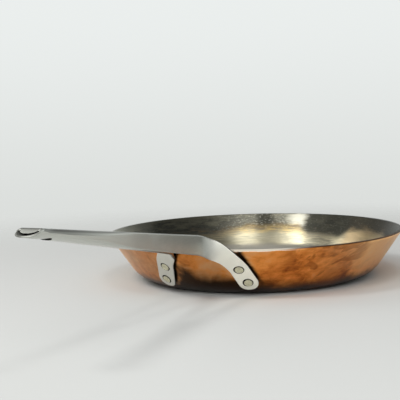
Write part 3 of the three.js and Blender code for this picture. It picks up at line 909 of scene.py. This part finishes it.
# rings from the tip to the root, which of them meet their mirror images, and the way to the pan
def makeRings(tipRings=10, passes=4, gripRings=60, turns=16, legRings=42):
    up = np.array([0.0, 0.0, 1.0])
    tipStart = handle["tipReach"] - handle["tipLength"]
    base, ends = sideRing(tipStart, up)
    rings = []
    for i in range(tipRings):
        share = 1 - i / tipRings
        ring = base.copy()
        for j in range(len(base)):
            reach = tipStart
            for _ in range(passes):
                near = sideRing(reach, up)[0][j]
                reach = tipEnd(near[1], near[2])
            ring[j] = sideRing(lerp(tipStart, reach, share), up)[0][j]
        rings.append(ring)
    closed = [True] * len(rings)
    root, crotch = handle["rootReach"], handle["crotchReach"]
    reaches = list(np.linspace(tipStart, crotch, gripRings))
    reaches += [crotch - gripInside * (1 - cos(pi / 2 * i / turns)) for i in range(1, turns + 1)]
    reaches += list(np.linspace(crotch - gripInside, root, legRings))[1:]
    rise = handle["tipRise"] + (handle["tipHeight"] - handle["rootHeight"]) / 2
    lean = atan2(rise, handle["tipReach"] - root)
    for reach in reaches:
        tilt = lean * (1 - eased(reach, *(root + past for past in handle["uprightFrom"])))
        rings.append(sideRing(reach, np.array([-sin(tilt), 0, cos(tilt)]))[0])
        closed.append(reach >= crotch)
    return rings, closed, ends, np.array([-cos(lean), 0, -sin(lean)])


def strapRing(centre, tangent, outward, section):
    up = unit(np.cross(outward, tangent))
    inward = np.cross(up, tangent)
    return centre + section[:, :1] * inward + section[:, 1:] * up


# a place on the strap's outer face, and the way out there, by distance past the upper rivet
def strapPlace(distance):
    share = distance / pitch
    spread = rivets["upperSpread"] + rivets["pitchSpread"] * share
    return wallPlace(spread, rivets["upperDrop"] + rivets["pitchDrop"] * share, handle["strapFace"])


def strapSection(width):
    edge = handle["edgeRound"]
    return foldedSection(width, handle["sheet"], edge, edge, edge)[0]


# the bend as a cubic curve from the leg to the upper rivet, then the strap and its round end
def strapRings(heading, bendRings=48, flatRings=12, endRings=14):
    upper, normal = strapPlace(0)
    down = unit(strapPlace(pitch)[0] - upper)
    rootLevel = handle["rootBottom"] + handle["rootHeight"] / 2
    a = np.array([handle["rootReach"], handle["rootHalfWidth"], rootLevel])
    b = a + heading * handle["bendPull"]
    c = upper - down * handle["landingPull"] + normal * handle["landingLift"]
    d = upper
    rings = []
    for i in range(1, bendRings + 1):
        t = i / bendRings
        spot = (1 - t) ** 3 * a + 3 * t * (1 - t) ** 2 * b + 3 * t * t * (1 - t) * c + t ** 3 * d
        way = (1 - t) ** 2 * (b - a) + 2 * t * (1 - t) * (c - b) + t * t * (d - c)
        outward = lerp(np.array([0.0, 1.0, 0.0]), normal, eased(t, *handle["twist"]))
        section = strapSection(lerp(handle["rootHeight"], handle["strapWidth"], t))
        rings.append(strapRing(spot, unit(way), outward, section))
    section = strapSection(handle["strapWidth"])
    for i in range(1, flatRings + 1):
        rings.append(flatRing(pitch * i / flatRings, section, 0))
    for i in range(1, endRings + 1):
        rings.append(flatRing(pitch, section, pi / 2 * i / endRings))
    return rings


# a ring on the wall, or one turned about the lower rivet to make the round end
def flatRing(distance, section, turn):
    ring = []
    for depth, level in section:
        past = distance + abs(level) * sin(turn)
        place, normal = strapPlace(past)
        tangent = strapPlace(past + 1)[0] - place
        spot = np.array([[depth, level * cos(turn)]])
        ring.append(strapRing(place, unit(tangent), normal, spot)[0])
    return np.array(ring)


# eases the leg into the bend, over a span of rings either way
def easeJoint(rings, middle, span=12, passes=36):
    for _ in range(passes):
        before = [ring.copy() for ring in rings]
        for i in range(middle - span + 1, middle + span):
            share = 0.5 * (1 - abs(i - middle) / span)
            rings[i] = before[i] * (1 - share) + (before[i - 1] + before[i + 1]) / 2 * share


# how much painted shade each point of each ring gets, on +Y or -Y: the hollow, the upper corner, the straps'
# backs
def shadeMarks(closed, strapCount, hollowStart, side, cornerRings=(4, 60), cornerFade=(60, 16),
              hollowRings=6, backRings=(8, 24), backDepth=(0.3, 0.9)):
    arc = handle["arcSteps"] + 1
    cornerPoints = range(arc + 2, 2 * arc + 3)
    lipPoints = range(2 * arc + 6, hollowStart + arc + 2)
    depths = strapSection(handle["strapWidth"])[:, 0]
    points = range(len(depths))
    marks = [[float(whole and j > hollowStart) for j in points] for whole in closed]
    marks[0] = [shadeShares["lip"][side] * (j in lipPoints) for j in points]
    for i in range(*cornerRings):
        for j in cornerPoints:
            marks[i][j] = shadeShares["corner"] * eased(i, *cornerFade)
    for i in range(1, hollowRings):
        marks[i] = [mark * shadeShares["hollow"][side] for mark in marks[i]]
    for k in range(strapCount):
        shown = eased(k, *backRings)
        marks[k - strapCount] = [shown * eased(depth, *backDepth) for depth in depths]
    return marks


def cutterMesh(name, stacks):
    shape = bmesh.new()
    for stack in stacks:
        rows = [[shape.verts.new(point * mm) for point in ring] for ring in stack]
        count = len(rows[0])
        for low, high in zip(rows, rows[1:]):
            for i in range(count):
                k = (i + 1) % count
                shape.faces.new((low[i], low[k], high[k], high[i]))
        shape.faces.new(rows[0][::-1])
        shape.faces.new(rows[-1])
    bmesh.ops.recalc_face_normals(shape, faces=shape.faces)
    thing = shapeObject(name, shape)
    # the cut faces take the painted-shade material
    thing.data.materials.append(rawSteel)
    return thing


# the hang hole, and a mouth in the straps for each rivet
def makeCutters(sides=48):
    reach = handle["tipReach"] - handle["holeSetback"]
    lean = atan2(handle["tipRise"], handle["tipReach"] - handle["rootReach"])
    spin = Matrix.Rotation(-lean, 3, "Y")
    angles = [2 * pi * i / sides for i in range(sides)]
    long, wide = handle["holeLength"] / 2, handle["holeWidth"] / 2
    oval = [Vector((cos(a) * long, sin(a) * wide, 0)) for a in angles]
    centre = Vector((reach, 0, handleEdges(reach)[0]))
    levels = [Vector((0, 0, level)) for level in handle["holeLevels"]]
    stacks = [[[centre + spin @ (point + level) for point in oval] for level in levels]]
    lifts = (handle["strapFace"] - handle["mouthDepth"], handle["mouthTop"])
    for place, normal in rivetPlaces():
        axis = Vector(normal)
        level = Vector((-axis.y, axis.x, 0)).normalized()
        climb = axis.cross(level)
        shift = climb * handle["mouthRise"] - level * copysign(handle["mouthInset"], place[1])
        ring = [shift + (level * cos(a) + climb * sin(a)) * handle["rivetMouth"] for a in angles]
        stacks.append([[Vector(place) + axis * lift + point for point in ring] for lift in lifts])
    return cutterMesh("handleCutters", stacks)


def loftHalf(shape, layer, rings, marks, closed, ends, side):
    rows = []
    for ring, values in zip(rings, marks):
        row = [shape.verts.new((x * mm, y * side * mm, z * mm)) for x, y, z in ring]
        for vert, value in zip(row, values):
            vert[layer] = value
        rows.append(row)
    count = len(rows[0])
    for k in range(len(rows) - 1):
        for i in range(count):
            if i in ends and closed[k] and closed[k + 1]:
                continue  # the arms meet here, so their ends have no face
            j = (i + 1) % count
            corners = [rows[k][i], rows[k][j], rows[k + 1][j], rows[k + 1][i]]
            shape.faces.new(corners if side > 0 else corners[::-1])


def makeHandle():
    rings, closed, ends, heading = makeRings()
    joint = len(rings)
    straps = strapRings(heading)
    rings += straps
    closed += [False] * len(straps)
    easeJoint(rings, joint + handle["jointShift"])
    shape = bmesh.new()
    # painted shade shares, stored on each vertex
    layer = shape.verts.layers.float.new("unpolished")
    for side in (1, -1):
        marks = shadeMarks(closed, len(straps), ends[0], side)
        loftHalf(shape, layer, rings, marks, closed, ends, side)
    bmesh.ops.remove_doubles(shape, verts=shape.verts, dist=4e-6)
    rim = [edge for edge in shape.edges if edge.is_boundary]
    bmesh.ops.bridge_loops(shape, edges=rim)
    bevel = handle["rimBevel"] * mm
    bmesh.ops.bevel(shape, geom=rim, offset=bevel, segments=2, profile=0.5, affect="EDGES")
    bmesh.ops.recalc_face_normals(shape, faces=shape.faces)
    thing = shapeObject("forkedHandle", shape)
    thing.data.materials.append(steel)
    cutters = makeCutters()
    cut = thing.modifiers.new("cut", "BOOLEAN")
    cut.operation = "DIFFERENCE"
    cut.solver = "EXACT"
    cut.object = cutters
    cut.material_mode = "TRANSFER"
    bakeModifiers(thing)
    bpy.data.objects.remove(cutters)
    return thing


forkedHandle = makeHandle()
cleanMesh(forkedHandle, handle["crease"])
print("handle lofted")


# the pieces stand for the CAD nodes

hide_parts("pan_body")
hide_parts("tin_lining")
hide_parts("handle")
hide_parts("rivet_right_upper", "rivet_right_lower", "rivet_left_upper", "rivet_left_lower")
for piece in (panBody, tinLining, forkedHandle, rivetSet):
    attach(piece, "root")
print("pieces ride on the frame")


# stage: a pale floor that fades into the backdrop, soft light and the camera

studio = dict(
    low=(0.70, 0.72, 0.70),  # backdrop below the horizon
    high=(0.83, 0.86, 0.85),  # backdrop above it
    horizon=(-0.15, 0.12),
    gloom=(0.115, 0.115, 0.112),  # the room over the lamps
    roof=(0.26, 0.46),
    glow=(0.50, 0.48, 0.44),  # and over the camera
    towardCamera=(0.30, 0.85),
    zenith=(0.55, 0.55, 0.53),  # and straight above
    overhead=(0.93, 0.98),
    fill=(0.47, 0.47, 0.47),  # even light on what is matt
    floor=(0.68, 0.69, 0.67),
    floorRadius=2.0,
    floorSides=96,
    floorFade=(0.24, 0.80),
)


def makeFloor():
    shape = bmesh.new()
    bmesh.ops.create_circle(shape, cap_ends=True, radius=studio["floorRadius"], segments=studio["floorSides"])
    thing = shapeObject("studioFloor", shape)
    material, board, place = newMaterial("paleFloor")
    fade = board.ease(board.vector("LENGTH", place, output="Value"), studio["floorFade"])
    matt = board.add("ShaderNodeBsdfDiffuse", {}, {"Color": studio["floor"]})
    clear = board.add("ShaderNodeBsdfTransparent")
    shader = board.add("ShaderNodeMixShader", {}, {0: fade, 1: matt, 2: clear})
    board.add("ShaderNodeOutputMaterial", {}, {"Surface": shader})
    thing.data.materials.append(material)


def makeWorld():
    world = bpy.data.worlds.new("studioWorld")
    scene.world = world
    world.use_nodes = True
    world.node_tree.nodes.clear()
    board = Board(world.node_tree)
    toward, rise = board.split(board.add("ShaderNodeTexCoord", output="Generated"), "XZ")
    colour = board.mix(board.ease(rise, studio["horizon"]), studio["low"], studio["high"])
    roof = board.mix(board.ease(toward, studio["towardCamera"]), studio["gloom"], studio["glow"])
    roof = board.mix(board.ease(rise, studio["overhead"]), roof, studio["zenith"])
    colour = board.mix(board.ease(rise, studio["roof"]), colour, roof)
    kinds = ("Camera", "Glossy", "Transmission")
    seen, *others = [board.add("ShaderNodeLightPath", output=f"Is {kind} Ray") for kind in kinds]
    colour = board.mix(sum(others, seen), studio["fill"], colour)
    sky = board.add("ShaderNodeBackground", {}, {"Color": colour, "Strength": 1.0})
    board.add("ShaderNodeOutputWorld", {}, {"Surface": sky})


lamps = dict(
    overRight=dict(at=(0.415, 0.325, 1.15), to=(-0.08, -0.03, 0.02), size=(0.26, 0.26), watts=1.15),
    overLeft=dict(at=(0.762, -0.520, 1.15), to=(-0.08, -0.03, 0.02), size=(0.32, 0.32), watts=4.25),
    front=dict(at=(1.35, 0.25, 0.85), to=(0.10, 0.02, 0.02), size=(1.5, 1.0), watts=10.0),
    left=dict(at=(-0.02, -1.40, 0.9), to=(0.05, 0, 0.03), size=(0.8, 0.6), watts=2.8),
)


def makeLamps():
    for name, lamp in lamps.items():
        light = bpy.data.lights.new(name, "AREA")
        light.shape = "ELLIPSE"
        light.size, light.size_y = lamp["size"]
        light.energy = lamp["watts"]
        thing = addObject(name, light)
        thing.location = lamp["at"]
        way = Vector(lamp["to"]) - Vector(lamp["at"])
        thing.rotation_euler = way.to_track_quat("-Z", "Y").to_euler()


shot = dict(
    at=(0.962268, 0.377800, 0.174750),
    way=(-0.90572, -0.41395, -0.09115),
    roll=-1.761,
    lens=89.18,
    sensor=36,
    farthest=50,
)


def makeCamera():
    camera = bpy.data.cameras.new("camera")
    camera.sensor_width = shot["sensor"]
    camera.lens = shot["lens"]
    camera.clip_end = shot["farthest"]
    thing = addObject("camera", camera)
    aim = Vector(shot["way"]).to_track_quat("-Z", "Y").to_matrix()
    turned = aim @ Matrix.Rotation(radians(shot["roll"]), 3, "Z")
    thing.matrix_world = Matrix.Translation(shot["at"]) @ turned.to_4x4()
    scene.camera = thing


makeFloor()
makeWorld()
makeLamps()
makeCamera()
print("stage set")
